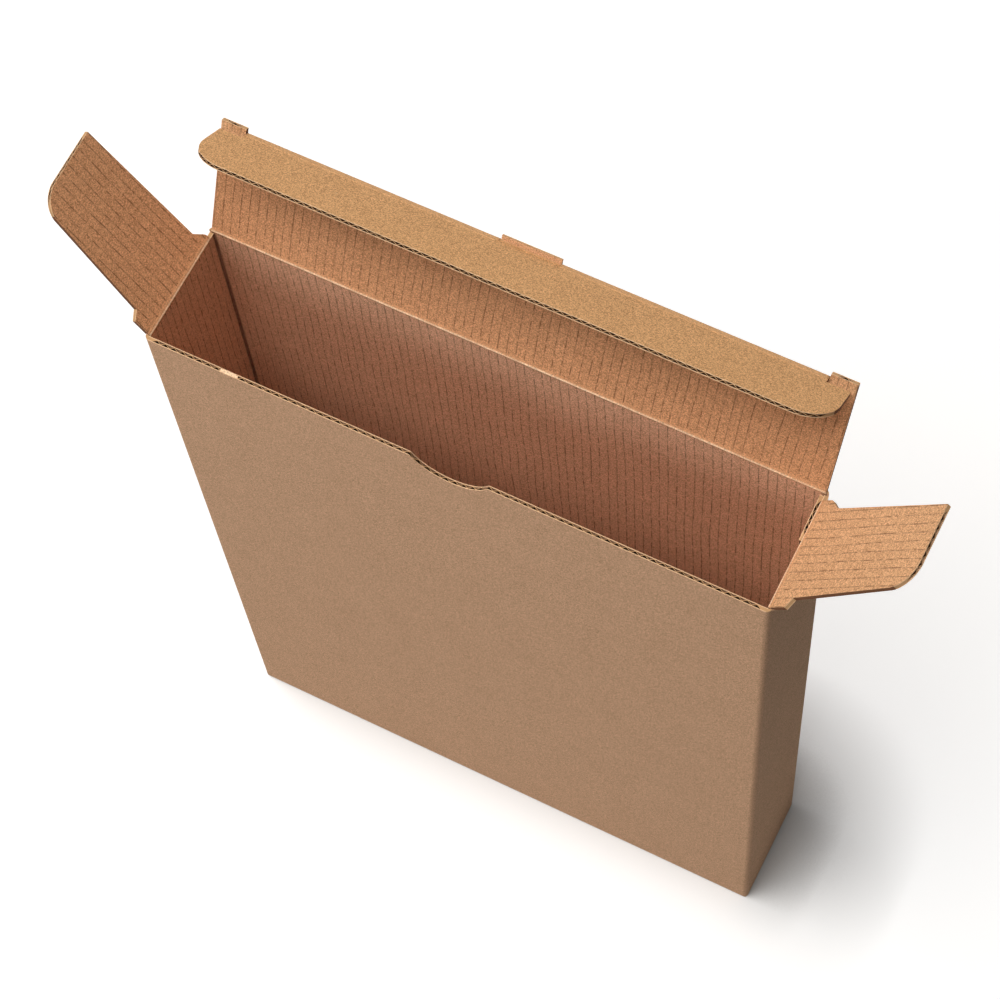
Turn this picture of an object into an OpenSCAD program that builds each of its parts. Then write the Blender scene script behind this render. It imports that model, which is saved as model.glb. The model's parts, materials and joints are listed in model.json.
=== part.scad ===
// Tuck-top carton folded from one blank of fine-fluted corrugated board, standing open.
// The origin is at the middle of the underside. X is the width, Y the depth, Z is up.
// The front wall, with the thumb notch, faces -Y, and the lid is hinged on the back wall.

/* [Carton] */
// Outside width of the closed carton
carton_w = 240; // [180:1:320]
// Outside depth of the closed carton
carton_d = 49; // [44:1:90]
// Outside height of the closed carton
carton_h = 334; // [150:1:450]
// Outside radius of the four upright folds
upright_fold_r = 2.2; // [1.8:0.1:4]
// Outside radius of the folds round the bottom
bottom_fold_r = 1.8; // [1:0.1:3]

/* [Board] */
// Thickness of the corrugated board
board_t = 1.6; // [1.3:0.1:2]
// Thickness of each flat liner
liner_t = 0.26; // [0.2:0.02:0.34]
// Thickness of the waved medium between the liners
medium_t = 0.2; // [0.15:0.05:0.3]
// Length of one wave of the medium
flute_pitch = 3.43; // [2.8:0.01:4.5]
// Depth to which the flutes stand open behind a cut edge
flute_depth = 12; // [10:0.5:16]
// Solid board left beside the outermost flutes of a cut edge
edge_margin = 1.2; // [1:0.1:2]

/* [Lid] */
// Distance of each side edge of the lid from the outside of the carton
lid_inset = 1.1; // [1:0.1:2]
// Width of the ear at each end of the lid's front fold
ear_w = 9.7; // [8:0.1:13]
// Width of the lip in the middle of the lid's front fold
lip_w = 22.6; // [14:0.1:40]

/* [Tuck flap] */
// Length of the tuck flap from its fold
tuck_len = 28.7; // [20:0.1:32]
// Radius of the tuck flap's two free corners
tuck_corner_r = 13; // [6:0.5:15]
// Depth of the slit that frees each ear from the tuck flap
slit_depth = 4.2; // [4.1:0.1:6]

/* [Dust flaps] */
// Length of each dust flap from its fold
dust_len = 65; // [40:0.5:75]
// Length of the wide shoulder beside the fold
shoulder_len = 8.2; // [6:0.1:8.3]
// Run of the slope from the shoulder to the long front edge
shoulder_run = 2.2; // [1:0.1:2.3]
// Height of the step from the shoulder to the long front edge
shoulder_step = 3.6; // [3.5:0.1:5]
// Inward slant of the long front edge over the flap's length
front_slant = 3.5; // [0:0.1:5]
// Distance of the back edge from the inside of the back wall, at the fold
back_step = 5.9; // [5:0.1:9]
// Inward slant of the back edge over the flap's length
back_slant = 1.4; // [0:0.1:5]
// Radius of the free front corner
dust_corner_r = 10; // [4:0.5:12]
// Length of the foot at the back of the left flap's fold
left_foot_len = 2.2; // [2:0.1:8]
// Length of the foot at the back of the right flap's fold
right_foot_len = 5.6; // [3:0.1:8]
// Height by which a foot stands out of the back edge
foot_step = 3.4; // [2:0.1:4.6]
// Run of the slope from a foot to the back edge
foot_run = 4.8; // [3:0.1:6]
// Radius of a foot's corner
foot_r = 1.8; // [1:0.1:2]

/* [Thumb notch] */
// Width of the notch at the front wall's top edge
notch_w = 30; // [16:0.5:60]
// Depth of the notch
notch_depth = 8.6; // [4:0.1:9.4]

/* [Glue flap] */
// Width of the glue flap from the back wall
glue_w = 17; // [12:0.5:20]
// Slant of the glue flap's ends across its width
glue_slant = 3; // [1:0.5:8]

/* [Open pose] */
// Angle by which the lid is lifted from closed
lid_open = 115; // [90:1:130]
// Angle by which the tuck flap is folded out of the lid's plane
tuck_fold = 79.5; // [70:0.5:85]
// Rise of the left dust flap above level
left_rise = 56.5; // [45:0.5:70]
// Rise of the right dust flap above level
right_rise = 48.5; // [45:0.5:70]

/* [Clearances] */
// Gap between a fold's round bead and the flap that turns round it
crease_gap = 0.12; // [0.08:0.01:0.3]
// Gap between closed layers of board
layer_gap = 0.3; // [0.2:0.05:0.5]
// Gap between each end of the tuck flap and the side wall
tuck_side_gap = 0.7; // [0.4:0.1:1.5]
// Gap between a dust flap's shoulder and the front wall
shoulder_gap = 0.4; // [0.3:0.05:1]

/* [Hidden] */
$fn = 64;

kraft_outside = "#b39676";
kraft_inside = "#a97850";

bead_r = board_t / 2;
root = bead_r + crease_gap;

// Inside of the walls
inner_w = carton_w - 2 * board_t;
inner_d = carton_d - 2 * board_t;
inner_fold_r = upright_fold_r - board_t;

// Levels of the folds and of the front wall's cut edge
lid_axis_z = carton_h - bead_r;
lid_axis_y = carton_d / 2 - bead_r;
dust_axis_z = carton_h - board_t - layer_gap - bead_r;
dust_axis_x = carton_w / 2 - bead_r;
front_top = carton_h - board_t - layer_gap;

// Lid: the tuck flap's outside ends just behind the front wall, and the ears lie on that wall's edge
lid_half = carton_w / 2 - lid_inset;
lid_reach = lid_axis_y + inner_d / 2 - layer_gap - bead_r;
lid_front = lid_axis_y + carton_d / 2;
ear_inner = lid_half - ear_w;

// Tuck flap
tuck_half = inner_w / 2 - tuck_side_gap;
tuck_root_half = ear_inner - layer_gap;

// Edges of the dust flaps, measured from the middle of the depth
shoulder_u = -inner_d / 2 + shoulder_gap;
front_u = shoulder_u + shoulder_step;
back_u = inner_d / 2 - back_step;
foot_u = back_u + foot_step;

// Bottom: the panel folds back from the front wall and tucks up inside the back wall
bottom_top = board_t;
bottom_flaps_top = 2 * board_t;

// Wave of the medium
wave_h = board_t - 2 * liner_t - medium_t;
wave_w = flute_pitch - medium_t;
WAVE_STEPS = 4;

// Overshoot of every cut
through = 1;
// Hair by which a rounding circle crosses the edges it meets, so that it never only grazes them
crossing = 0.01;

function unit(p) = p / norm(p);

// Corner of an outline at p that a circle of radius r rounds off
module corner_cut(before, p, after, r) {
    a = unit(before - p);
    b = unit(after - p);
    half_angle = acos(a * b) / 2;
    reach = r / tan(half_angle);
    centre = p + unit(a + b) * r / sin(half_angle);
    difference() {
        polygon([p - (a + b) * through, p + a * reach - b * through, p + a * reach, centre, p + b * reach,
                 p + b * reach - a * through]);
        translate(centre) circle(r + crossing);
    }
}

// Rectangle with its middle at the origin and all four corners rounded
module rounded_rect(w, d, r) {
    square([w - 2 * r, d], center = true);
    square([w, d - 2 * r], center = true);
    for (x = [-1, 1], y = [-1, 1]) translate([x * (w / 2 - r), y * (d / 2 - r)]) circle(r);
}

// Section of one open flute, standing on a liner
module flute_section() {
    polygon([for (i = [0 : WAVE_STEPS])
        [wave_w * (i / WAVE_STEPS - 0.5), wave_h * (1 - cos(360 * i / WAVE_STEPS)) / 2]]);
}

// Sections of all the flutes of a board, from one end of its cut edge to the other
module flute_row(from, to) {
    half_pitch = flute_pitch / 2;
    count = floor((to - from - wave_w) / half_pitch);
    first = (from + to - count * half_pitch) / 2;
    for (i = [0 : count]) {
        side = i % 2;
        translate([first + i * half_pitch, (2 * side - 1) * (bead_r - liner_t)])
            mirror([0, side]) flute_section();
    }
}

// Every flap below is drawn level, with its fold along X, its free end towards +Y and its outside up

// Flutes that stand open behind the free end of a flap
module end_flutes(flap_len, from, to) {
    translate([0, flap_len - flute_depth, 0]) rotate([-90, 0, 0])
        linear_extrude(flute_depth + through) flute_row(from, to);
}

// Wedge off one face of a flap beside its fold, so that the flap can turn past square
module fold_bevel(half_w, face) {
    start = -face * bead_r / 4;
    high = bead_r + through;
    run = high + bead_r / 4;
    rotate([90, 0, 90]) linear_extrude(2 * half_w, center = true)
        polygon([[root, start], [root + run, face * high], [0, face * high], [0, start]]);
}

// Round bead of a fold, from one place on X to another
module bead(from, to) {
    translate([from, 0, 0]) rotate([0, 90, 0]) cylinder(h = to - from, r = bead_r);
}

// Upright section of the closed carton with its two lower corners rounded
module bottom_profile(w) {
    difference() {
        translate([-w / 2, 0]) square([w, carton_h]);
        for (x = [-w / 2, w / 2]) corner_cut([x, carton_h], [x, 0], [0, 0], bottom_fold_r);
    }
}

// Block of the closed carton with its upright and bottom folds rounded
module carton_block() {
    intersection() {
        linear_extrude(carton_h) rounded_rect(carton_w, carton_d, upright_fold_r);
        rotate([90, 0, 0]) linear_extrude(2 * carton_d, center = true) bottom_profile(carton_w);
        rotate([90, 0, 90]) linear_extrude(2 * carton_w, center = true) bottom_profile(carton_d);
    }
}

// Space above the top edges of the front wall, the side walls and the back wall
module above_walls() {
    wide = 2 * carton_w;
    front_y = -carton_d / 2 + board_t;
    back_y = carton_d / 2 - board_t;
    translate([-carton_w, front_y - carton_d, front_top]) cube([wide, carton_d, carton_h]);
    translate([-carton_w, front_y, dust_axis_z]) cube([wide, back_y - front_y, carton_h]);
    translate([-carton_w, back_y, lid_axis_z]) cube([wide, carton_d, carton_h]);
}

// Scoop out of the middle of the front wall's top edge
module thumb_notch() {
    r = (pow(notch_w / 2, 2) + pow(notch_depth, 2)) / (2 * notch_depth);
    translate([0, -carton_d / 2 + bead_r, front_top - notch_depth + r])
        rotate([90, 0, 0]) cylinder(h = 2 * board_t, r = r, center = true);
}

// Flap of the back wall that is glued inside the right wall, with slanted ends
module glue_flap() {
    back_y = inner_d / 2;
    edge_y = back_y - glue_w;
    top = dust_axis_z - bead_r - layer_gap;
    base = bottom_flaps_top + layer_gap;
    difference() {
        translate([inner_w / 2 - board_t, 0, 0]) rotate([90, 0, 90]) linear_extrude(board_t)
            polygon([[back_y, base], [back_y, top], [edge_y, top - glue_slant], [edge_y, base + glue_slant]]);
        translate([inner_w / 2 - bead_r, 0, top - flute_depth]) rotate([0, 0, 90])
            linear_extrude(flute_depth + through) flute_row(edge_y + edge_margin, back_y - edge_margin);
    }
}

// Flaps inside the bottom: two dust flaps on the bottom panel, and its tuck up against the back wall
module bottom_flaps() {
    for (side = [0, 1]) mirror([side, 0, 0]) translate([inner_w / 2 + root, 0, bottom_top])
        rotate([0, 0, 90]) linear_extrude(board_t) dust_outline(left_foot_len);
    translate([0, inner_d / 2, bottom_top]) rotate([90, 0, 0]) linear_extrude(board_t) tuck_tongue();
}

// Walls, bottom, glue flap and the beads of the top folds, all one folded sheet
module carton_body() {
    color(kraft_outside) {
        difference() {
            carton_block();
            translate([0, 0, bottom_top]) linear_extrude(carton_h) rounded_rect(inner_w, inner_d, inner_fold_r);
            above_walls();
            thumb_notch();
            translate([0, -carton_d / 2 + bead_r, front_top - flute_depth]) linear_extrude(flute_depth + through)
                flute_row(-inner_w / 2 + edge_margin, inner_w / 2 - edge_margin);
        }
        glue_flap();
        bottom_flaps();
        translate([0, lid_axis_y, lid_axis_z]) bead(-lid_half, lid_half);
        for (x = [-dust_axis_x, dust_axis_x])
            translate([x, 0, dust_axis_z]) rotate([0, 0, 90]) bead(shoulder_u, foot_u);
    }
}

// Places the lid's flat form at its fold on the back wall
module at_lid_fold() {
    translate([0, lid_axis_y, lid_axis_z]) rotate([-lid_open, 0, 0]) rotate([0, 0, 180]) children();
}

// Lid with an ear at each end of its front fold and a thin lip in the middle
module lid_panel() {
    color(kraft_inside) at_lid_fold() {
        translate([-lid_half, root, -bead_r]) cube([2 * lid_half, lid_reach - root, board_t]);
        translate([0, lid_reach, 0]) bead(-ear_inner, ear_inner);
        translate([-lip_w / 2, lid_reach, 0]) cube([lip_w, lid_front - lid_reach, bead_r]);
        for (side = [0, 1]) mirror([side, 0, 0]) difference() {
            translate([ear_inner, lid_reach - flute_depth, -bead_r])
                cube([ear_w, lid_front - lid_reach + flute_depth, board_t]);
            end_flutes(lid_front, ear_inner + edge_margin, lid_half - edge_margin);
        }
    }
}

// Outline of a tuck flap that is rounded at its free corners
module tuck_tongue() {
    difference() {
        translate([-tuck_half, 0]) square([2 * tuck_half, tuck_len]);
        for (x = [-tuck_half, tuck_half]) corner_cut([x, 0], [x, tuck_len], [0, tuck_len], tuck_corner_r);
    }
}

// Tuck flap, slit at both ends of its fold so that the lid's ears stay in the lid's plane
module tuck_flap() {
    color(kraft_outside) at_lid_fold() translate([0, lid_reach, 0]) rotate([-tuck_fold, 0, 0])
        difference() {
            linear_extrude(board_t, center = true) difference() {
                tuck_tongue();
                translate([-tuck_half - through, -through]) square([2 * (tuck_half + through), root + through]);
                for (side = [0, 1]) mirror([side, 0])
                    translate([tuck_root_half, 0]) square([tuck_half, slit_depth]);
            }
            fold_bevel(tuck_half + through, -1);
            end_flutes(tuck_len, -tuck_half + edge_margin, tuck_half - edge_margin);
        }
}

// Outline of a dust flap: x runs from front to back, y from the fold to the free end
module dust_outline(foot_len) {
    front = [front_u, shoulder_len + shoulder_run];
    end_front = [front_u + front_slant, dust_len];
    end_back = [back_u - back_slant, dust_len];
    foot_end_v = foot_len + foot_run;
    foot_end = [back_u - back_slant * foot_end_v / dust_len, foot_end_v];
    foot_top = [foot_u, foot_len];
    foot_root = [foot_u, root];
    shoulder_root = [shoulder_u, root];
    shoulder = [shoulder_u, shoulder_len];
    difference() {
        polygon([shoulder_root, shoulder, front, end_front, end_back, foot_end, foot_top, foot_root]);
        corner_cut(front, end_front, end_back, dust_corner_r);
        corner_cut(foot_root, foot_top, foot_end, foot_r);
    }
}

// Dust flap of the right side at its fold, raised above level by the given angle
module dust_flap(foot_len, rise) {
    translate([dust_axis_x, 0, dust_axis_z]) rotate([0, 180 - rise, 0]) rotate([0, 0, 90]) difference() {
        linear_extrude(board_t, center = true) dust_outline(foot_len);
        fold_bevel(carton_d, 1);
        end_flutes(dust_len, front_u + front_slant + edge_margin, back_u - back_slant - edge_margin);
    }
}

module left_dust_flap() {
    color(kraft_inside) mirror([1, 0, 0]) dust_flap(left_foot_len, left_rise);
}

module right_dust_flap() {
    color(kraft_inside) dust_flap(right_foot_len, right_rise);
}

carton_body();
lid_panel();
tuck_flap();
left_dust_flap();
right_dust_flap();
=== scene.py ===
"""Tuck-top carton of plain corrugated board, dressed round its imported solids.

The solids have the true shape, so each one stays and gets its board. Two things are added here: the paper
that runs unbroken over the four top folds, because it bends between two bodies, and the crushed spot on
the front edge.
"""

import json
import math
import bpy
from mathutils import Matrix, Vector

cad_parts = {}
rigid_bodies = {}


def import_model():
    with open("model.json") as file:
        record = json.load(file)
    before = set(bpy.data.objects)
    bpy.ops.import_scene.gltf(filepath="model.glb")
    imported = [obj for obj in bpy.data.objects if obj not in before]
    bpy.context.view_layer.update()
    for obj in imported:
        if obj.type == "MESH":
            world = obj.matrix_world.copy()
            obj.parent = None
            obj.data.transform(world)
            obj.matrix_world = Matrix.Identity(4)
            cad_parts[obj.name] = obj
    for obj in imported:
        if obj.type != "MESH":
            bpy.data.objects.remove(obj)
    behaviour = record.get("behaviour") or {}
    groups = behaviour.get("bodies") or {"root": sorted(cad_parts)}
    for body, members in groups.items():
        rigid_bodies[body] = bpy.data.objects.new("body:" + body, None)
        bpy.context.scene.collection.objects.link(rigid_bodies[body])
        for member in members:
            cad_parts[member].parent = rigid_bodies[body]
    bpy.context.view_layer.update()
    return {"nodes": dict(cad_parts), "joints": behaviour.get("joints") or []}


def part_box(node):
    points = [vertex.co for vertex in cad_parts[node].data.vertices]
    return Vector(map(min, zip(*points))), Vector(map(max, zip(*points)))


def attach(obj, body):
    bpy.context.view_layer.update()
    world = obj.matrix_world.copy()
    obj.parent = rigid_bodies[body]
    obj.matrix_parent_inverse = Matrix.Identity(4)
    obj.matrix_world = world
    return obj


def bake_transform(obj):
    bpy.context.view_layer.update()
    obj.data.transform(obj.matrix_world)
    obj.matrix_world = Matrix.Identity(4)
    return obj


bl_info = {
    "name": "Tuck-top carton",
    "version": (1, 0, 0),
    "blender": (4, 5, 0),
    "location": "3D View > Sidebar > Carton",
    "description": "Dresses the solids of a tuck-top carton in kraft board and sets its stage",
    "category": "Object",
}

import bmesh
import bpy
from bpy.props import FloatProperty, FloatVectorProperty, PointerProperty
from mathutils import Euler, Matrix, Vector, noise

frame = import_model()

MM = 0.001
# How strongly the fibres mottle the walls' outside, the flaps and all insides, and the crease paper
WALL_GRAIN = 1.8
FLAP_GRAIN = 2.4
CREASE_GRAIN = 2.0
# Heights of the relief in millimetres
FIBRE_HEIGHT = 0.03
WAVE_HEIGHT = 0.012
LINE_DEPTH = 0.05
# Straight pieces in the bend of a fold's section
BEND_STEPS = 6
JOINTS = {joint["name"]: joint for joint in frame["joints"]}

# Each flap: its node, the joint at its fold, and the way its inside faces
FLAPS = {
    "lid_panel": ("lid_hinge", Vector((0, -1, 0))),
    "tuck_flap": ("tuck_hinge", Vector((0, -1, 0))),
    "left_dust_flap": ("left_dust_hinge", Vector((1, 0, 0))),
    "right_dust_flap": ("right_dust_hinge", Vector((-1, 0, 0))),
}


def linear(hex_colour):
    """Linear red, green and blue of an sRGB hex colour."""
    parts = [int(hex_colour[i : i + 2], 16) / 255 for i in (1, 3, 5)]
    return tuple(c / 12.92 if c <= 0.04045 else ((c + 0.055) / 1.055) ** 2.4 for c in parts)


def opaque(colour):
    """A colour with the alpha that a node's socket wants."""
    return (*colour, 1)


WHITE = linear("#ffffff")


def blank_tree(owner):
    """Emptied node tree of a new material or world."""
    owner.use_nodes = True
    owner.node_tree.nodes.clear()
    return owner.node_tree


def add(tree, kind, inputs=None, out=None, **settings):
    """Adds a node with its settings and links, and returns its named or first output."""
    node = tree.nodes.new(kind)
    for name, value in settings.items():
        setattr(node, name, value)
    for key, value in (inputs or {}).items():
        if isinstance(key, int):
            socket = node.inputs[key]
        else:
            socket = next(s for s in node.inputs if s.enabled and s.name == key)
        if isinstance(value, bpy.types.NodeSocket):
            tree.links.new(value, socket)
        else:
            socket.default_value = value
    return next((s for s in node.outputs if s.enabled and out in (None, s.name)), None)


def panel_axes(node_name):
    """Fold point and the directions across the flutes, along them and inwards of a flap at rest."""
    joint_name, towards = FLAPS[node_name]
    fold = Vector(JOINTS[joint_name]["pos_m"])
    axis = Vector(JOINTS[joint_name]["axis"]).normalized()
    widest = max(frame["nodes"][node_name].data.polygons, key=lambda face: face.area)
    inward = (widest.normal - axis * widest.normal.dot(axis)).normalized()
    if inward.dot(towards) < 0:
        inward.negate()
    low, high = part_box(node_name)
    along = inward.cross(axis)
    if along.dot((low + high) / 2 - fold) < 0:
        along.negate()
    return fold, along.cross(inward), along, inward


class CartonBoard(bpy.types.PropertyGroup):
    """Colours and sizes of the corrugated board"""

    wall_colour: FloatVectorProperty(
        name="Outside",
        description="Outside liner of the walls, the bottom, the lid and the dust flaps",
        subtype="COLOR",
        size=3,
        default=linear("#ddb18d"),
    )
    # Painted light: the tuck is the same liner as the walls, painted more golden for the warm light that
    # falls on it
    lit_tuck_colour: FloatVectorProperty(
        name="Outside of the tuck",
        description="Outside liner of the tuck flap, which shows more golden than the rest",
        subtype="COLOR",
        size=3,
        default=linear("#d6a573"),
    )
    inside_colour: FloatVectorProperty(
        name="Inside of the flaps",
        description="Inside liner of the lid and the tuck and left dust flaps",
        subtype="COLOR",
        size=3,
        default=linear("#d39b70"),
    )
    # Painted light: the same liner as the other insides, painted paler and yellower where it lies in full
    # light
    sunlit_inside_colour: FloatVectorProperty(
        name="Inside of the right flap",
        description="Inside liner of the right dust flap and the lid's ears, a little yellower",
        subtype="COLOR",
        size=3,
        default=linear("#d2a278"),
    )
    # Painted light: the same liner as the flaps' inside, painted paler and less saturated to lift the shade
    # inside the walls
    lit_lining_colour: FloatVectorProperty(
        name="Inside of the walls",
        description="Inside liner of the walls, which keeps out of the light",
        subtype="COLOR",
        size=3,
        default=linear("#e4b492"),
    )
    # Painted highlight: the crease colour is partly the paler stretched liner and partly a highlight painted
    # where the crest catches the light
    crease_and_highlight_colour: FloatVectorProperty(
        name="Creases",
        description="Liner where a crease has stretched it",
        subtype="COLOR",
        size=3,
        default=linear("#fbdcb8"),
    )
    rim_colour: FloatVectorProperty(
        name="Cut liners",
        description="Cut ends of the two liners",
        subtype="COLOR",
        size=3,
        default=linear("#e8c39b"),
    )
    core_colour: FloatVectorProperty(
        name="Flutes",
        description="Cut end of the waved medium between the liners",
        subtype="COLOR",
        size=3,
        default=linear("#c39a70"),
    )
    # Painted shade: the hollows are the same paper, painted dark for the little light that reaches them
    hollow_shade_colour: FloatVectorProperty(
        name="Flute hollows",
        description="Walls of the hollows between the flutes, which little light reaches",
        subtype="COLOR",
        size=3,
        default=linear("#4a2f1d"),
    )
    # Partly real and partly painted shade: a cut along the flutes opens a channel of the medium, painted
    # darker for the shade on it
    side_cut_and_shade_colour: FloatVectorProperty(
        name="Side cuts",
        description="Cut edges that run along the flutes",
        subtype="COLOR",
        size=3,
        default=linear("#7a5238"),
    )
    line_colour: FloatVectorProperty(
        name="Flute lines",
        description="Broken lines over the dips between the flutes, and pressed lines down the corners",
        subtype="COLOR",
        size=3,
        default=linear("#4f2a15"),
    )
    bark_colour: FloatVectorProperty(
        name="Bark",
        description="Dark flecks in the liner",
        subtype="COLOR",
        size=3,
        default=linear("#6d4a30"),
    )
    straw_colour: FloatVectorProperty(
        name="Stray fibres",
        description="Pale flecks in the liner",
        subtype="COLOR",
        size=3,
        default=linear("#ecd2b0"),
    )
    thickness: FloatProperty(
        name="Thickness",
        description="Thickness of the board",
        unit="LENGTH",
        default=1.6 * MM,
    )
    liner: FloatProperty(
        name="Liner",
        description="Thickness of each liner",
        unit="LENGTH",
        default=0.26 * MM,
    )
    pitch: FloatProperty(
        name="Flute pitch",
        description="Length of one wave of the medium",
        unit="LENGTH",
        default=3.43 * MM,
    )
    fibre: FloatProperty(
        name="Fibre",
        description="Width of the clumps of fibre that mottle the liner",
        unit="LENGTH",
        default=0.48 * MM,
    )
    cloud: FloatProperty(
        name="Cloud",
        description="Width of the broad light and dark patches of the liner",
        unit="LENGTH",
        default=14 * MM,
    )
    fleck: FloatProperty(
        name="Fleck spacing",
        description="Distance between the pale and dark flecks in the liner",
        unit="LENGTH",
        default=9 * MM,
    )
    sway: FloatProperty(
        name="Sway",
        description="Length over which a flute line wanders from its course",
        unit="LENGTH",
        default=30 * MM,
    )
    run: FloatProperty(
        name="Run",
        description="Length of the stretches into which a flute line breaks",
        unit="LENGTH",
        default=4 * MM,
    )


class CartonCreases(bpy.types.PropertyGroup):
    """Sizes of the paper that runs over the folds"""

    proud: FloatProperty(
        name="Proud",
        description="Height of the creased paper above the board",
        unit="LENGTH",
        default=0.04 * MM,
    )
    sunk: FloatProperty(
        name="Sunk",
        description="Depth of the creased paper below the board's face",
        unit="LENGTH",
        default=0.03 * MM,
    )
    ripple: FloatProperty(
        name="Ripple",
        description="Unevenness of the paper along a fold",
        unit="LENGTH",
        default=0.05 * MM,
    )
    crest: FloatProperty(
        name="Crest",
        description="Half the width of the pale bead on a crease",
        unit="LENGTH",
        default=0.5 * MM,
    )
    bead: FloatProperty(
        name="Bead",
        description="Height of the bead that the crease rule raises on the inside",
        unit="LENGTH",
        default=0.3 * MM,
    )
    step: FloatProperty(
        name="Step",
        description="Distance between sections of the paper along a fold",
        unit="LENGTH",
        default=1.15 * MM,
    )
    # These stretches vary the crease's pale colour, which is partly stretched paper and partly painted
    # highlight
    wear_and_sheen: FloatProperty(
        name="Worn stretch",
        description="Length of the paler and duller stretches along a crease",
        unit="LENGTH",
        default=6 * MM,
    )
    lip: FloatProperty(
        name="Lip",
        description="Half the width that the tuck fold's outside paper leaves free for the lid's lip",
        unit="LENGTH",
        default=11.6 * MM,
    )


class CartonCrush(bpy.types.PropertyGroup):
    """Place and size of the crushed spot on the front wall's cut edge"""

    across: FloatProperty(
        name="Place",
        description="Distance of the spot from the middle of the front edge",
        unit="LENGTH",
        default=-86 * MM,
    )
    length: FloatProperty(
        name="Length",
        description="Length of the spot along the edge",
        unit="LENGTH",
        default=7 * MM,
    )
    swell: FloatProperty(
        name="Swell",
        description="Height to which the bent liner stands above the edge",
        unit="LENGTH",
        default=0.35 * MM,
    )


class CartonStage(bpy.types.PropertyGroup):
    """Floor, light and camera"""

    floor_colour: FloatVectorProperty(
        name="Floor",
        description="Colour of the floor as it lights the carton",
        subtype="COLOR",
        size=3,
        default=linear("#bababa"),
    )
    sweep_colour: FloatVectorProperty(
        name="Sweep",
        description="Colour of the floor as the camera sees it",
        subtype="COLOR",
        size=3,
        default=linear("#cfcfcf"),
    )
    floor_size: FloatProperty(
        name="Floor size",
        description="Length of each side of the floor",
        unit="LENGTH",
        default=6,
    )
    key_power: FloatProperty(
        name="Key light",
        description="Power of the large soft lamp above the left side",
        unit="POWER",
        default=4.6,
    )
    key_colour: FloatVectorProperty(
        name="Key colour",
        description="Colour of the key light",
        subtype="COLOR",
        size=3,
        default=linear("#fffaf4"),
    )
    top_power: FloatProperty(
        name="Top light",
        description="Power of the large soft lamp overhead",
        unit="POWER",
        default=16,
    )
    front_power: FloatProperty(
        name="Front light",
        description="Power of the low soft lamp in front",
        unit="POWER",
        default=15,
    )
    back_power: FloatProperty(
        name="Back light",
        description="Power of the weak soft lamp behind, which shows the back",
        unit="POWER",
        default=9,
    )
    ambient: FloatProperty(
        name="Ambient",
        description="Strength of the light from the room",
        default=0.02,
    )
    lens: FloatProperty(
        name="Lens",
        description="Focal length of the camera",
        unit="CAMERA",
        default=103.46,
    )
    camera_place: FloatVectorProperty(
        name="Camera place",
        description="Place of the camera",
        subtype="TRANSLATION",
        size=3,
        default=(0.244154, -0.359142, 1.216581),
    )
    camera_turn: FloatVectorProperty(
        name="Camera turn",
        description="Rotation of the camera",
        subtype="EULER",
        size=3,
        default=(math.radians(24.2102), math.radians(3.1372), math.radians(26.9084)),
    )


def flap_field(tree, place, normal, node_name):
    """Sockets on a flap: across and along its flutes, through its board, its cuts, end cuts and hollows."""
    # How squarely a face looks out of the board, along its flutes or across them
    liner_share, end_share, side_share = 0.6, 0.3, 0.85
    fold, across_way, along_way, inward = panel_axes(node_name)
    turn = Matrix((across_way, along_way, inward))
    local = add(
        tree,
        "ShaderNodeMapping",
        {"Vector": place, "Location": -(turn @ fold), "Rotation": turn.to_euler()},
    )
    across, along, through = add(tree, "ShaderNodeSeparateXYZ", {0: local}).node.outputs
    turned = []
    for way in (inward, along_way, across_way):
        lean = add(tree, "ShaderNodeVectorMath", {0: normal, 1: way}, "Value", operation="DOT_PRODUCT")
        turned.append(add(tree, "ShaderNodeMath", {0: lean}, operation="ABSOLUTE"))
    flat, endwise, sideways = turned
    cut = add(tree, "ShaderNodeMath", {0: flat, 1: liner_share}, operation="LESS_THAN")
    end_cut = add(tree, "ShaderNodeMath", {0: endwise, 1: end_share}, operation="GREATER_THAN")
    # The walls of a hollow face neither along the flutes nor squarely across them
    not_end = add(tree, "ShaderNodeMath", {0: endwise, 1: end_share}, operation="LESS_THAN")
    not_side = add(tree, "ShaderNodeMath", {0: sideways, 1: side_share}, operation="LESS_THAN")
    within = add(tree, "ShaderNodeMath", {0: not_end, 1: not_side}, operation="MULTIPLY")
    if node_name == "lid_panel":
        # The lid's lip, in its middle, is a single thin sheet with no hollows
        lip_room = 30 * MM
        aside = add(tree, "ShaderNodeMath", {0: across}, operation="ABSOLUTE")
        aside = add(tree, "ShaderNodeMath", {0: aside, 1: lip_room}, operation="GREATER_THAN")
        within = add(tree, "ShaderNodeMath", {0: within, 1: aside}, operation="MULTIPLY")
    return across, along, through, cut, end_cut, within


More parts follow.
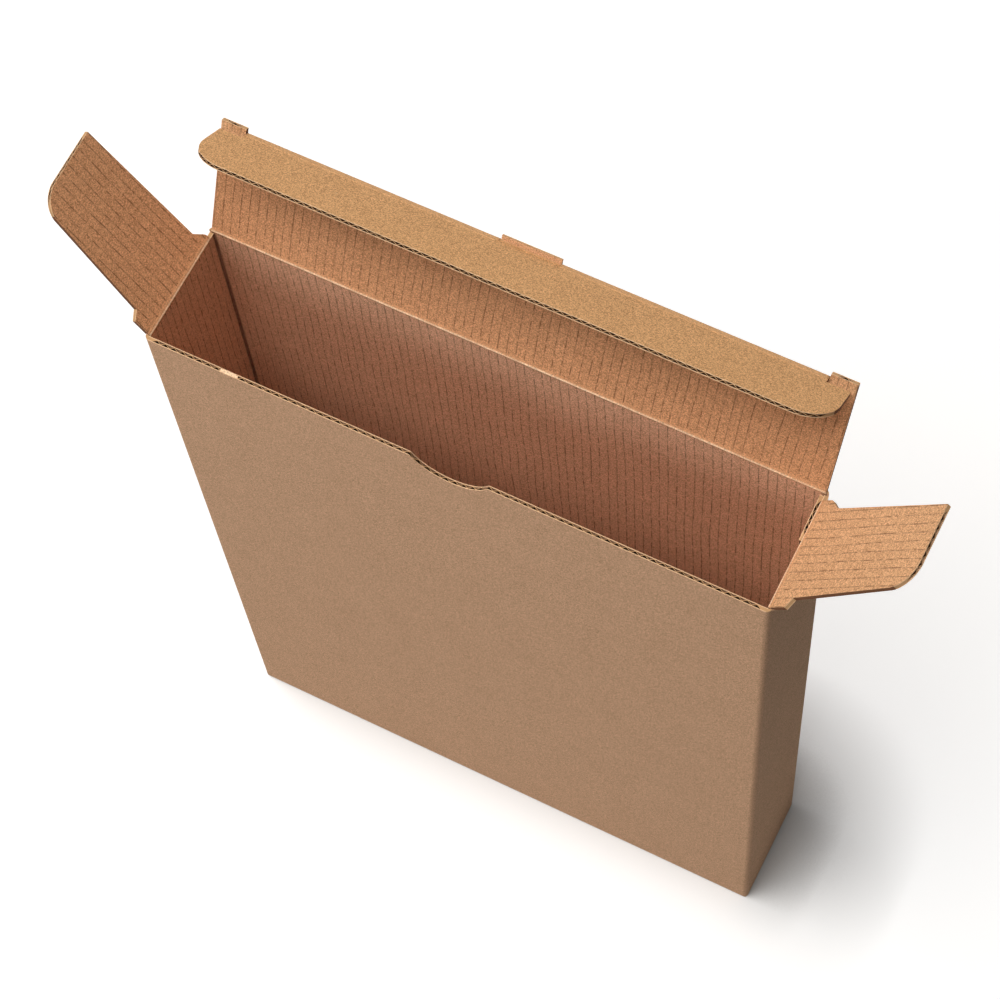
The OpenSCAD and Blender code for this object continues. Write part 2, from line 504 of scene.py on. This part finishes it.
def wall_field(tree, place, normal, half):
    """The same sockets on the carton's own walls, and how near a place lies to a corner fold."""
    # How squarely a face looks sideways or up, the room of a corner fold and the depth of the hollows
    side_share, top_share = 0.7, 0.45
    corner_room = 2.6 * MM
    hollow_depth = 16 * MM
    low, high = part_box("carton_body")
    x, y, z = add(tree, "ShaderNodeSeparateXYZ", {0: place}).node.outputs
    turned = add(tree, "ShaderNodeVectorMath", {0: normal}, operation="ABSOLUTE")
    side_on, _, up = add(tree, "ShaderNodeSeparateXYZ", {0: turned}).node.outputs
    on_side = add(tree, "ShaderNodeMath", {0: side_on, 1: side_share}, operation="GREATER_THAN")
    across = add(tree, "ShaderNodeMix", {"Factor": on_side, "A": x, "B": y}, data_type="FLOAT")
    wide = add(tree, "ShaderNodeMath", {0: x}, operation="ABSOLUTE")
    wide = add(tree, "ShaderNodeMath", {0: wide, 1: high.x}, operation="SUBTRACT")
    deep = add(tree, "ShaderNodeMath", {0: y}, operation="ABSOLUTE")
    deep = add(tree, "ShaderNodeMath", {0: deep, 1: high.y}, operation="SUBTRACT")
    outer = add(tree, "ShaderNodeMath", {0: wide, 1: deep}, operation="MAXIMUM")
    under = add(tree, "ShaderNodeMath", {0: low.z, 1: z}, operation="SUBTRACT")
    outer = add(tree, "ShaderNodeMath", {0: outer, 1: under}, operation="MAXIMUM")
    through = add(tree, "ShaderNodeMath", {0: -half, 1: outer}, operation="SUBTRACT")
    top = add(tree, "ShaderNodeMath", {0: up, 1: top_share}, operation="GREATER_THAN")
    high_up = add(tree, "ShaderNodeMath", {0: z, 1: high.z / 2}, operation="GREATER_THAN")
    cut = add(tree, "ShaderNodeMath", {0: top, 1: high_up}, operation="MULTIPLY")
    # The hollows stand upright behind the top edges, away from the rounded corner folds
    corner = add(tree, "ShaderNodeMath", {0: wide, 1: deep}, operation="MINIMUM")
    plain = add(tree, "ShaderNodeMath", {0: corner, 1: -corner_room}, operation="LESS_THAN")
    within = add(tree, "ShaderNodeMath", {0: z, 1: high.z - hollow_depth}, operation="GREATER_THAN")
    within = add(tree, "ShaderNodeMath", {0: within, 1: plain}, operation="MULTIPLY")
    within = add(tree, "ShaderNodeMath", {0: within, 1: top}, operation="SUBTRACT", use_clamp=True)
    return across, z, through, cut, cut, within, corner


def cut_layers(tree, board, through, cut, end_cut, within):
    """Masks of what the cuts show: the medium, cuts along the flutes and the hollows, both given painted
    shade, and the liners' ends.
    """
    half = board.thickness / 2
    # One sheet after another from the outside inwards, each with its two liners
    layer = add(tree, "ShaderNodeMath", {0: through, 1: half, 2: -half}, operation="WRAP")
    layer = add(tree, "ShaderNodeMath", {0: layer}, operation="ABSOLUTE")
    core = add(tree, "ShaderNodeMath", {0: layer, 1: half - board.liner}, operation="LESS_THAN")
    bare = add(tree, "ShaderNodeMath", {0: 1.0, 1: core}, operation="SUBTRACT")
    rim = add(tree, "ShaderNodeMath", {0: end_cut, 1: bare}, operation="MULTIPLY")
    rim = add(tree, "ShaderNodeMath", {0: rim, 1: cut}, operation="MULTIPLY")
    side_cut = add(tree, "ShaderNodeMath", {0: cut, 1: end_cut}, operation="SUBTRACT", use_clamp=True)
    medium = add(tree, "ShaderNodeMath", {0: cut, 1: core}, operation="MULTIPLY")
    hollow_shade = add(tree, "ShaderNodeMath", {0: within, 1: core}, operation="MULTIPLY")
    return medium, side_cut, hollow_shade, rim


def washboard(tree, board, place, across, along, inside):
    """The waves under the liner, never quite straight, and the mask of the broken line in each dip."""
    sway = add(tree, "ShaderNodeTexNoise", {"Vector": place, "Scale": 1 / board.sway, "Detail": 1})
    sway = add(tree, "ShaderNodeMath", {0: sway, 1: 0.5, 2: -0.25}, operation="MULTIPLY_ADD")
    wave = add(tree, "ShaderNodeMath", {0: across, 1: 1 / board.pitch, 2: sway}, operation="MULTIPLY_ADD")
    dip = add(tree, "ShaderNodeMath", {0: wave, 1: 0.5}, operation="PINGPONG")
    line = add(
        tree,
        "ShaderNodeMapRange",
        {"Value": dip, "From Min": 0.39, "From Max": 0.5},
        interpolation_type="SMOOTHSTEP",
    )
    # Lines are set far apart in the noise, so that neighbours break at different places
    row_gap = 7.3
    count = add(tree, "ShaderNodeMath", {0: wave}, operation="FLOOR")
    count = add(tree, "ShaderNodeMath", {0: count, 1: row_gap}, operation="MULTIPLY")
    run = add(tree, "ShaderNodeMath", {0: along, 1: 1 / board.run}, operation="MULTIPLY")
    row = add(tree, "ShaderNodeCombineXYZ", {0: count, 1: run})
    gap = add(tree, "ShaderNodeTexNoise", {"Vector": row, "Scale": 1, "Detail": 3, "Roughness": 0.7})
    gap = add(tree, "ShaderNodeMapRange", {"Value": gap, "From Min": 0.36, "From Max": 0.6})
    line = add(tree, "ShaderNodeMath", {0: line, 1: gap}, operation="MULTIPLY")
    # The outside hardly shows them
    shown = add(tree, "ShaderNodeMapRange", {"Value": inside, "To Min": 0.03, "To Max": 0.72})
    line = add(tree, "ShaderNodeMath", {0: line, 1: shown}, operation="MULTIPLY")
    return wave, line


def stray_fibres(tree, board, paper):
    """Mask and colour of the stray pale fibres and the specks of bark."""
    cell = add(tree, "ShaderNodeTexVoronoi", {"Vector": paper, "Scale": 1 / board.fleck}, "Distance")
    kind, amount, _ = add(tree, "ShaderNodeSeparateColor", {0: cell.node.outputs["Color"]}).node.outputs
    speck = add(tree, "ShaderNodeMapRange", {"Value": cell, "From Min": 0.05, "From Max": 0.02})
    amount = add(tree, "ShaderNodeMapRange", {"Value": amount, "From Min": 0.4, "From Max": 1.0})
    speck = add(tree, "ShaderNodeMath", {0: speck, 1: amount}, operation="MULTIPLY")
    pale = add(tree, "ShaderNodeMath", {0: kind, 1: 0.5}, operation="GREATER_THAN")
    colour = add(
        tree,
        "ShaderNodeMix",
        {"Factor": pale, "A": opaque(board.bark_colour), "B": opaque(board.straw_colour)},
        data_type="RGBA",
    )
    return speck, colour


def kraft_board(name, board, outside, lining, grain, node_name=None):
    """Corrugated kraft board: unbleached pulp liners, pressed dull, glued to a waved medium.

    The eye sees clumped brown fibres with stray pale and dark ones, and on the inside thin dark broken
    lines where the liner dips between the tips of the flutes. A cut edge shows two pale liners and the
    darker medium. Without a node name the panels are the carton's own walls.
    """
    material = bpy.data.materials.new(name)
    tree = blank_tree(material)
    place = add(tree, "ShaderNodeTexCoord", out="Object")
    normal = place.node.outputs["Normal"]
    if node_name:
        across, along, through, cut, end_cut, within = flap_field(tree, place, normal, node_name)
    else:
        half = board.thickness / 2
        across, along, through, cut, end_cut, within, corner = wall_field(tree, place, normal, half)
    inside = add(tree, "ShaderNodeMath", {0: through, 1: 0.0}, operation="GREATER_THAN")
    medium, side_cut, hollow_shade, rim = cut_layers(tree, board, through, cut, end_cut, within)
    wave, line = washboard(tree, board, place, across, along, inside)
    paper = add(tree, "ShaderNodeCombineXYZ", {0: across, 1: along, 2: through})
    speck, speck_colour = stray_fibres(tree, board, paper)
    fibre = add(
        tree, "ShaderNodeTexNoise", {"Vector": paper, "Scale": 1 / board.fibre, "Detail": 2, "Roughness": 0.7}
    )
    cloud = add(tree, "ShaderNodeTexNoise", {"Vector": place, "Scale": 1 / board.cloud, "Detail": 2})

    inner = opaque(lining)
    if node_name == "lid_panel":
        # Painted light: the ears and the lip stand out beyond the front fold in full light and take the right
        # flap's sunlit colour
        fade = 4 * MM
        reach = (Vector(JOINTS["tuck_hinge"]["pos_m"]) - Vector(JOINTS["lid_hinge"]["pos_m"])).length
        ends = {"Value": along, "From Min": reach - fade, "From Max": reach}
        beyond = add(tree, "ShaderNodeMapRange", ends)
        inner = add(
            tree,
            "ShaderNodeMix",
            {"Factor": beyond, "A": inner, "B": opaque(board.sunlit_inside_colour)},
            data_type="RGBA",
        )
    colour = add(
        tree,
        "ShaderNodeMix",
        {"Factor": inside, "A": opaque(outside), "B": inner},
        data_type="RGBA",
    )
    contrast = add(tree, "ShaderNodeMapRange", {"Value": inside, "To Min": grain, "To Max": FLAP_GRAIN})
    lean = add(tree, "ShaderNodeMath", {0: fibre, 1: 0.5}, operation="SUBTRACT")
    fibre_shade = add(tree, "ShaderNodeMath", {0: lean, 1: contrast, 2: 1.0}, operation="MULTIPLY_ADD")
    cloud_shade = add(
        tree,
        "ShaderNodeMapRange",
        {"Value": cloud, "From Min": 0.3, "From Max": 0.7, "To Min": 0.98, "To Max": 1.02},
    )
    shade = add(tree, "ShaderNodeMath", {0: fibre_shade, 1: cloud_shade}, operation="MULTIPLY")
    # Dark fibres are browner and light ones paler, so green and blue swing further than red
    green = add(tree, "ShaderNodeMath", {0: shade, 1: 1.15}, operation="POWER")
    blue = add(tree, "ShaderNodeMath", {0: shade, 1: 1.35}, operation="POWER")
    tint = add(tree, "ShaderNodeCombineColor", {0: shade, 1: green, 2: blue})
    colour = add(
        tree,
        "ShaderNodeMix",
        {"Factor": 1.0, "A": colour, "B": tint},
        data_type="RGBA",
        blend_type="MULTIPLY",
    )
    # Each coat hides what lies under it, as far as its mask is set
    coats = [(line, opaque(board.line_colour)), (speck, speck_colour)]
    if not node_name:
        # Each corner fold has a darker line down its inside
        seam_start, seam_full = -2.9 * MM, -2.1 * MM
        seam = add(
            tree,
            "ShaderNodeMapRange",
            {"Value": corner, "From Min": seam_start, "From Max": seam_full, "To Max": 0.7},
        )
        seam = add(tree, "ShaderNodeMath", {0: seam, 1: inside}, operation="MULTIPLY")
        coats.append((seam, opaque(board.line_colour)))
    coats += [
        (medium, opaque(board.core_colour)),
        (side_cut, opaque(board.side_cut_and_shade_colour)),
        (hollow_shade, opaque(board.hollow_shade_colour)),
        (rim, opaque(board.rim_colour)),
    ]
    for mask, tone in coats:
        colour = add(tree, "ShaderNodeMix", {"Factor": mask, "A": colour, "B": tone}, data_type="RGBA")

    # Relief of the waves, the fibres on them and the dips along the lines
    swell = add(tree, "ShaderNodeMath", {0: wave, 1: 2 * math.pi}, operation="MULTIPLY")
    swell = add(tree, "ShaderNodeMath", {0: swell}, operation="SINE")
    relief = add(tree, "ShaderNodeMath", {0: swell, 1: WAVE_HEIGHT}, operation="MULTIPLY")
    relief = add(tree, "ShaderNodeMath", {0: fibre, 1: FIBRE_HEIGHT, 2: relief}, operation="MULTIPLY_ADD")
    relief = add(tree, "ShaderNodeMath", {0: line, 1: -LINE_DEPTH, 2: relief}, operation="MULTIPLY_ADD")
    bump = add(tree, "ShaderNodeBump", {"Height": relief, "Distance": MM, "Strength": 1.0})
    surface = add(
        tree,
        "ShaderNodeBsdfPrincipled",
        {"Base Color": colour, "Normal": bump, "Roughness": 0.88, "Specular IOR Level": 0.2},
    )
    add(tree, "ShaderNodeOutputMaterial", {"Surface": surface})
    return material


def creased_liner(name, board, creases, plain, pale):
    """Creased kraft liner: the crease rule has stretched and polished the paper over the fold.

    The eye sees a narrow paler line on the crest, uneven along its length, fading into the plain liner:
    stretched paper with painted highlight.
    """
    material = bpy.data.materials.new(name)
    tree = blank_tree(material)
    place = add(tree, "ShaderNodeTexCoord", out="Object")
    fibre = add(
        tree, "ShaderNodeTexNoise", {"Vector": place, "Scale": 1 / board.fibre, "Detail": 2, "Roughness": 0.7}
    )
    # The crest's pale colour, stretched paper and painted highlight together, comes and goes along the crease
    wear_and_sheen = add(tree, "ShaderNodeTexNoise", {"Vector": place, "Scale": 1 / creases.wear_and_sheen, "Detail": 2})
    wear_and_sheen = add(
        tree,
        "ShaderNodeMapRange",
        {"Value": wear_and_sheen, "From Min": 0.3, "From Max": 0.6, "To Min": 0.6, "To Max": 1.0},
    )
    crest = add(tree, "ShaderNodeAttribute", out="Fac", attribute_name="crest")
    wear_and_sheen = add(tree, "ShaderNodeMath", {0: wear_and_sheen, 1: crest}, operation="MULTIPLY")
    colour = add(
        tree, "ShaderNodeMix", {"Factor": wear_and_sheen, "A": opaque(plain), "B": opaque(pale)}, data_type="RGBA"
    )
    lean = add(tree, "ShaderNodeMath", {0: fibre, 1: 0.5}, operation="SUBTRACT")
    shade = add(tree, "ShaderNodeMath", {0: lean, 1: CREASE_GRAIN, 2: 1.0}, operation="MULTIPLY_ADD")
    colour = add(
        tree,
        "ShaderNodeMix",
        {"Factor": 1.0, "A": colour, "B": shade},
        data_type="RGBA",
        blend_type="MULTIPLY",
    )
    relief = add(tree, "ShaderNodeMath", {0: fibre, 1: FIBRE_HEIGHT}, operation="MULTIPLY")
    bump = add(tree, "ShaderNodeBump", {"Height": relief, "Distance": MM, "Strength": 1.0})
    surface = add(
        tree,
        "ShaderNodeBsdfPrincipled",
        {"Base Color": colour, "Normal": bump, "Roughness": 0.75, "Specular IOR Level": 0.3},
    )
    add(tree, "ShaderNodeOutputMaterial", {"Surface": surface})
    return material


def new_piece(name, mesh_maker, material):
    """Object made from a filled bmesh, with its material."""
    mesh = bpy.data.meshes.new(name)
    bmesh.ops.recalc_face_normals(mesh_maker, faces=mesh_maker.faces)
    mesh_maker.to_mesh(mesh)
    mesh_maker.free()
    mesh.shade_smooth()
    mesh.materials.append(material)
    piece = bpy.data.objects.new(name, mesh)
    bpy.context.scene.collection.objects.link(piece)
    return piece


def fold_section(radius, leave, leave_normal, meet, meet_normal, tails):
    """Section of the paper over a fold, from one panel to the next, and the two ends of its bend."""
    angle = leave_normal.angle(meet_normal)
    steps = [i / BEND_STEPS for i in range(BEND_STEPS + 1)]
    if meet.dot(leave_normal) < 0:
        bend = [leave_normal.slerp(meet_normal, t) * radius for t in steps]
    else:
        # In the hollow of a fold the panels' faces meet in a corner, which the paper rounds off
        easing = 0.3 * MM
        reach = radius * math.tan(angle / 2)
        corner = leave_normal * radius + leave * reach
        first = corner + leave * easing
        last = corner + meet * easing
        bend = [first.lerp(corner, t).lerp(corner.lerp(last, t), t) for t in steps]
    start = leave_normal * radius + leave * tails[0]
    end = meet_normal * radius + meet * tails[1]
    points = [start.lerp(bend[0], t) for t in (0, 0.3, 0.6, 0.8)]
    points += bend
    points += [bend[-1].lerp(end, t) for t in (0.2, 0.4, 0.7, 1)]
    return points, bend[0], bend[-1]


def crest_share(points, width):
    """Share of each point of a section in the crest: 1 up to half the width from its middle, then less."""
    peak, fall = 1.6, 1.2
    run = [0]
    for one, two in zip(points, points[1:]):
        run.append(run[-1] + (two - one).length)
    middle = run[len(run) // 2]
    return [min(1, max(0, peak - fall * abs(r - middle) / width)) for r in run]


def lay_paper(name, material, fold, axis, spans, sides, tails, bodies, slack=1, bead=0):
    """Thin band of liner along one side of a fold, bent round it at rest; the two bodies that the fold joins
    are not used.
    """
    creases = bpy.context.scene.carton_creases
    half = bpy.context.scene.carton_board.thickness / 2
    ripple_length = 4 * MM
    raised = (sides[1] + sides[3]).normalized() * bead
    maker = bmesh.new()
    crest = maker.verts.layers.float.new("crest")
    for start, end in spans:
        count = max(2, round((end - start) / creases.step))
        rings = []
        for i in range(count + 1):
            place = start + (end - start) * i / count
            ripple = noise.noise(Vector((place / ripple_length, half / MM, tails[1] / MM)))
            lift = creases.proud * (1 + slack) / 2 + max(0, creases.ripple * ripple) * slack
            over, _, _ = fold_section(half + lift, *sides, tails)
            under, _, _ = fold_section(half - creases.sunk, *sides, tails)
            centre = fold + axis * (place - fold.dot(axis))
            shares = crest_share(over, creases.crest)
            ring = []
            over = [point + raised * share for point, share in zip(over, shares)]
            for point, share in [*zip(over, shares), *reversed([*zip(under, shares)])]:
                corner = maker.verts.new(centre + point)
                corner[crest] = share
                ring.append(corner)
            rings.append(ring)
        size = len(rings[0])
        for one, two in zip(rings, rings[1:]):
            for k in range(size):
                maker.faces.new((one[k], one[(k + 1) % size], two[(k + 1) % size], two[k]))
        maker.faces.new(rings[0])
        maker.faces.new(list(reversed(rings[-1])))
    piece = new_piece(name, maker, material)
    _, first, last = fold_section(half, *sides, tails)
    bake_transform(piece)


def root_span(node_name, axis, along, fold, reach=1.5 * MM):
    """Ends of a flap's edge at its fold, measured along the fold."""
    corners = [v.co for v in frame["nodes"][node_name].data.vertices]
    places = [p.dot(axis) for p in corners if (p - fold).dot(along) < reach]
    if not places:
        raise RuntimeError(f"{node_name} has no edge at its fold")
    return min(places), max(places)


class CARTON_OT_dress_walls(bpy.types.Operator):
    """Dress the walls and the bottom in kraft board"""

    bl_idname = "carton.dress_walls"
    bl_label = "Dress the walls"

    def execute(self, context):
        board = context.scene.carton_board
        node = frame["nodes"]["carton_body"]
        node.data.materials.clear()
        look = kraft_board("Kraft board walls", board, board.wall_colour, board.lit_lining_colour, WALL_GRAIN)
        node.data.materials.append(look)
        return {"FINISHED"}


class CARTON_OT_dress_flaps(bpy.types.Operator):
    """Dress the lid, the tuck flap and the dust flaps in kraft board"""

    bl_idname = "carton.dress_flaps"
    bl_label = "Dress the flaps"

    def execute(self, context):
        board = context.scene.carton_board
        for node_name in FLAPS:
            node = frame["nodes"][node_name]
            label = "Kraft board " + node_name.replace("_", " ")
            node.data.materials.clear()
            # Painted light: the right flap's inside takes the sunlit copy of the liner, and the tuck's
            # outside the golden lit copy
            lining = board.sunlit_inside_colour if node_name == "right_dust_flap" else board.inside_colour
            outside = board.lit_tuck_colour if node_name == "tuck_flap" else board.wall_colour
            look = kraft_board(label, board, outside, lining, FLAP_GRAIN, node_name)
            node.data.materials.append(look)
        return {"FINISHED"}


class CARTON_OT_lay_crease_paper(bpy.types.Operator):
    """Lay the liners unbroken over the four top folds"""

    bl_idname = "carton.lay_crease_paper"
    bl_label = "Lay the crease paper"

    def execute(self, context):
        board = context.scene.carton_board
        creases = context.scene.carton_creases
        wall, tuck, lining = board.wall_colour, board.lit_tuck_colour, board.inside_colour
        # The inside paper carries the crease's painted highlight, and the tuck's outside paper the tuck's
        # painted golden light
        inside_paper = creased_liner("Creased kraft liner", board, creases, lining, board.crease_and_highlight_colour)
        outside_paper = creased_liner("Folded kraft liner", board, creases, wall, wall)
        tuck_paper = creased_liner("Folded kraft liner of the tuck", board, creases, tuck, tuck)
        down = Vector((0, 0, -1))
        # The closed lid passes close over the dust flaps' folds, so their paper lies tight
        slacks = {"lid_panel": (1, creases.bead), "tuck_flap": (1, 0)}
        tight = (0, creases.bead / 4)
        for node_name, (joint_name, towards) in FLAPS.items():
            joint = JOINTS[joint_name]
            fold, _, along, inward = panel_axes(node_name)
            axis = Vector(joint["axis"])
            leave, leave_inward = down, towards
            if node_name == "tuck_flap":
                _, _, lid_along, leave_inward = panel_axes("lid_panel")
                leave = -lid_along
            start, end = root_span(node_name, axis, along, fold)
            bodies = (joint["parent"], joint["child"])
            inner = (leave, leave_inward, along, inward)
            outer = (leave, -leave_inward, along, -inward)
            label = node_name.replace("_flap", "").replace("_panel", "")
            slack, bead = slacks.get(node_name, tight)
            # How far the paper reaches from the fold on to each panel
            inside_tails = (0.9 * MM, 1.3 * MM)
            outside_tails = (1.4 * MM, 2.6 * MM)
            spans = [(start, end)]
            paper = outside_paper
            if node_name == "tuck_flap":
                inside_tails = (0.9 * MM, 2.6 * MM)
                spans = [(start, -creases.lip), (creases.lip, end)]
                paper = tuck_paper
            band = (fold, axis, [(start, end)], inner, inside_tails, bodies)
            lay_paper(label + "_crease_inside", inside_paper, *band, slack, bead)
            band = (fold, axis, spans, outer, outside_tails, bodies)
            lay_paper(label + "_crease_outside", paper, *band)
        return {"FINISHED"}


class CARTON_OT_crush_edge(bpy.types.Operator):
    """Bend the liner over at the crushed spot on the front wall's cut edge"""

    bl_idname = "carton.crush_edge"
    bl_label = "Crush the front edge"

    def execute(self, context):
        board = context.scene.carton_board
        crush = context.scene.carton_crush
        low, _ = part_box("carton_body")
        # The front wall's edge lies this far below the closed lid
        lid_gap = 0.3 * MM
        level = JOINTS["lid_hinge"]["pos_m"][2] - board.thickness / 2 - lid_gap
        sheet = Vector((0, 0, 0.12 * MM))
        margin = 0.1 * MM
        least = 0.02 * MM
        paleness = 0.85
        steps, lanes = 16, 6
        maker = bmesh.new()
        crest = maker.verts.layers.float.new("crest")
        # The liner bows up along the spot, most on the carton's inside, and narrows to ragged ends
        rows = []
        for i in range(steps + 1):
            u = i / steps
            bow = math.sin(math.pi * u)
            row = []
            for k in range(lanes + 1):
                v = k / lanes
                rough = 0.8 + 0.4 * noise.noise(Vector((u * 5, v * 3, 1)))
                lift = crush.swell * bow * (0.35 + 0.65 * v) * rough
                ragged = 0.2 * MM * noise.noise(Vector((u * 9, v * 4, 2)))
                inset = 0.3 * MM * (1 - bow) * (v - 0.5)
                x = crush.across + crush.length * (u - 0.5) + ragged
                y = low.y + margin + (board.thickness - 2 * margin) * v - inset
                row.append(Vector((x, y, level + max(least, lift))))
            rows.append(row)
        top = [[maker.verts.new(p) for p in row] for row in rows]
        under = [[maker.verts.new(p - sheet) for p in row] for row in rows]
        # The bent liner is nearly as pale as a crease, painted highlight included
        for corner in maker.verts:
            corner[crest] = paleness
        for i in range(steps):
            for k in range(lanes):
                maker.faces.new((top[i][k], top[i + 1][k], top[i + 1][k + 1], top[i][k + 1]))
                maker.faces.new((under[i][k + 1], under[i + 1][k + 1], under[i + 1][k], under[i][k]))
            maker.faces.new((under[i][0], under[i + 1][0], top[i + 1][0], top[i][0]))
            maker.faces.new((top[i][lanes], top[i + 1][lanes], under[i + 1][lanes], under[i][lanes]))
        for k in range(lanes):
            maker.faces.new((top[0][k], top[0][k + 1], under[0][k + 1], under[0][k]))
            maker.faces.new((under[steps][k], under[steps][k + 1], top[steps][k + 1], top[steps][k]))
        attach(new_piece("crushed_edge", maker, bpy.data.materials["Creased kraft liner"]), "carton")
        return {"FINISHED"}


def seen_directly(tree):
    """Socket that is 1 on rays that the eye sees directly, in a mirror or through glass."""
    seen = add(tree, "ShaderNodeLightPath", out="Is Camera Ray")
    for ray in ("Is Glossy Ray", "Is Transmission Ray"):
        other = add(tree, "ShaderNodeLightPath", out=ray)
        seen = add(tree, "ShaderNodeMath", {0: seen, 1: other}, operation="MAXIMUM")
    return seen


def paper_sweep(stage):
    """White paper sweep, matte and evenly lit: white to the eye, with the carton's soft shadow partly cast
    and partly painted.
    """
    sweep = bpy.data.materials.new("Matte white paper sweep")
    tree = blank_tree(sweep)
    seen = seen_directly(tree)
    tone = add(
        tree,
        "ShaderNodeMix",
        {"Factor": seen, "A": opaque(stage.floor_colour), "B": opaque(stage.sweep_colour)},
        data_type="RGBA",
    )
    paper = add(tree, "ShaderNodeBsdfDiffuse", {"Color": tone})
    # Painted shadow: the white glow is dimmed where the carton hides the low front left, close to its right
    # and back walls
    facing = add(tree, "ShaderNodeCombineXYZ", {0: -0.75, 1: -0.62, 2: 0.22})
    shadow_depth = 2.3
    clear = 1.0
    for reach in (26 * MM, 62 * MM):
        shelter = {"Distance": reach, "Normal": facing}
        near = add(tree, "ShaderNodeAmbientOcclusion", shelter, "AO", samples=8)
        clear = add(tree, "ShaderNodeMath", {0: near, 1: clear}, operation="MULTIPLY")
    clear = add(tree, "ShaderNodeMath", {0: clear, 1: shadow_depth}, operation="POWER")
    # Away from the lamps the sweep is white by itself
    away = add(tree, "ShaderNodeTexCoord", out="Object")
    away = add(tree, "ShaderNodeVectorMath", {0: away}, "Value", operation="LENGTH")
    glow = add(
        tree,
        "ShaderNodeMapRange",
        {"Value": away, "From Min": 0.35, "From Max": 1.0, "To Min": 0.64, "To Max": 1.0},
    )
    lift = add(tree, "ShaderNodeMath", {0: clear, 1: glow}, operation="MULTIPLY")
    lift = add(tree, "ShaderNodeMath", {0: lift, 1: seen}, operation="MULTIPLY")
    white = add(tree, "ShaderNodeEmission", {"Color": opaque(WHITE), "Strength": lift})
    look = add(tree, "ShaderNodeAddShader", {0: paper, 1: white})
    add(tree, "ShaderNodeOutputMaterial", {"Surface": look})
    return sweep


def pale_room(stage):
    """Pale room: white where the eye sees it, and only a weak even light on the carton."""
    room = bpy.data.worlds.new("Pale room")
    tree = blank_tree(room)
    seen = seen_directly(tree)
    strength = add(tree, "ShaderNodeMapRange", {"Value": seen, "To Min": stage.ambient, "To Max": 1.0})
    light = add(tree, "ShaderNodeBackground", {"Color": opaque(WHITE), "Strength": strength})
    add(tree, "ShaderNodeOutputWorld", {"Surface": light})
    return room


class CARTON_OT_set_stage(bpy.types.Operator):
    """Set the floor, the lamps, the room light and the camera"""

    bl_idname = "carton.set_stage"
    bl_label = "Set the stage"

    def execute(self, context):
        scene = context.scene
        stage = scene.carton_stage
        scene.view_settings.view_transform = "Standard"

        maker = bmesh.new()
        bmesh.ops.create_grid(maker, x_segments=8, y_segments=8, size=stage.floor_size / 2)
        mesh = bpy.data.meshes.new("floor")
        maker.to_mesh(mesh)
        maker.free()
        mesh.materials.append(paper_sweep(stage))
        floor = bpy.data.objects.new("floor", mesh)
        scene.collection.objects.link(floor)

        scene.world = pale_room(stage)

        # Each lamp: its place, its side, its power and its colour, all turned to the carton's upper half
        target = Vector((0, 0, 0.25))
        lamps = {
            "key_lamp": ((-0.71, -0.22, 1.36), 0.8, stage.key_power, stage.key_colour),
            "top_lamp": ((-0.08, -0.29, 1.7), 0.8, stage.top_power, stage.key_colour),
            "front_lamp": ((-1.22, -2.12, 1.09), 1.5, stage.front_power, WHITE),
            "back_lamp": ((-0.5, 2.2, 0.45), 1.0, stage.back_power, WHITE),
        }
        for name, (place, size, power, colour) in lamps.items():
            lamp = bpy.data.lights.new(name, "AREA")
            lamp.size = size
            lamp.energy = power
            lamp.color = colour
            holder = bpy.data.objects.new(name, lamp)
            holder.location = place
            holder.rotation_euler = (target - Vector(place)).to_track_quat("-Z", "Y").to_euler()
            scene.collection.objects.link(holder)

        lens = bpy.data.cameras.new("camera")
        lens.sensor_fit = "HORIZONTAL"
        lens.sensor_width = 36
        lens.lens = stage.lens
        camera = bpy.data.objects.new("camera", lens)
        camera.location = stage.camera_place
        camera.rotation_euler = Euler(stage.camera_turn)
        scene.collection.objects.link(camera)
        scene.camera = camera
        return {"FINISHED"}


class CARTON_PT_sidebar(bpy.types.Panel):
    """Sidebar panel of the carton"""

    bl_idname = "CARTON_PT_sidebar"
    bl_label = "Carton"
    bl_space_type = "VIEW_3D"
    bl_region_type = "UI"
    bl_category = "Carton"

    def draw(self, context):
        for name in SETTINGS:
            settings = getattr(context.scene, name)
            column = self.layout.column()
            for key in settings.bl_rna.properties.keys():
                if key not in ("name", "rna_type"):
                    column.prop(settings, key)
        for operator in OPERATORS:
            self.layout.operator(operator.bl_idname)


SETTINGS = {
    "carton_board": CartonBoard,
    "carton_creases": CartonCreases,
    "carton_crush": CartonCrush,
    "carton_stage": CartonStage,
}
OPERATORS = (
    CARTON_OT_dress_walls,
    CARTON_OT_dress_flaps,
    CARTON_OT_lay_crease_paper,
    CARTON_OT_crush_edge,
    CARTON_OT_set_stage,
)


def register():
    for cls in (*SETTINGS.values(), *OPERATORS, CARTON_PT_sidebar):
        bpy.utils.register_class(cls)
    for name, cls in SETTINGS.items():
        setattr(bpy.types.Scene, name, PointerProperty(type=cls))


def unregister():
    for name in SETTINGS:
        delattr(bpy.types.Scene, name)
    for cls in reversed((*SETTINGS.values(), *OPERATORS, CARTON_PT_sidebar)):
        bpy.utils.unregister_class(cls)


def main():
    register()
    bpy.ops.carton.dress_walls()
    bpy.ops.carton.dress_flaps()
    bpy.ops.carton.lay_crease_paper()
    bpy.ops.carton.crush_edge()
    bpy.ops.carton.set_stage()


if __name__ == "__main__":
    main()
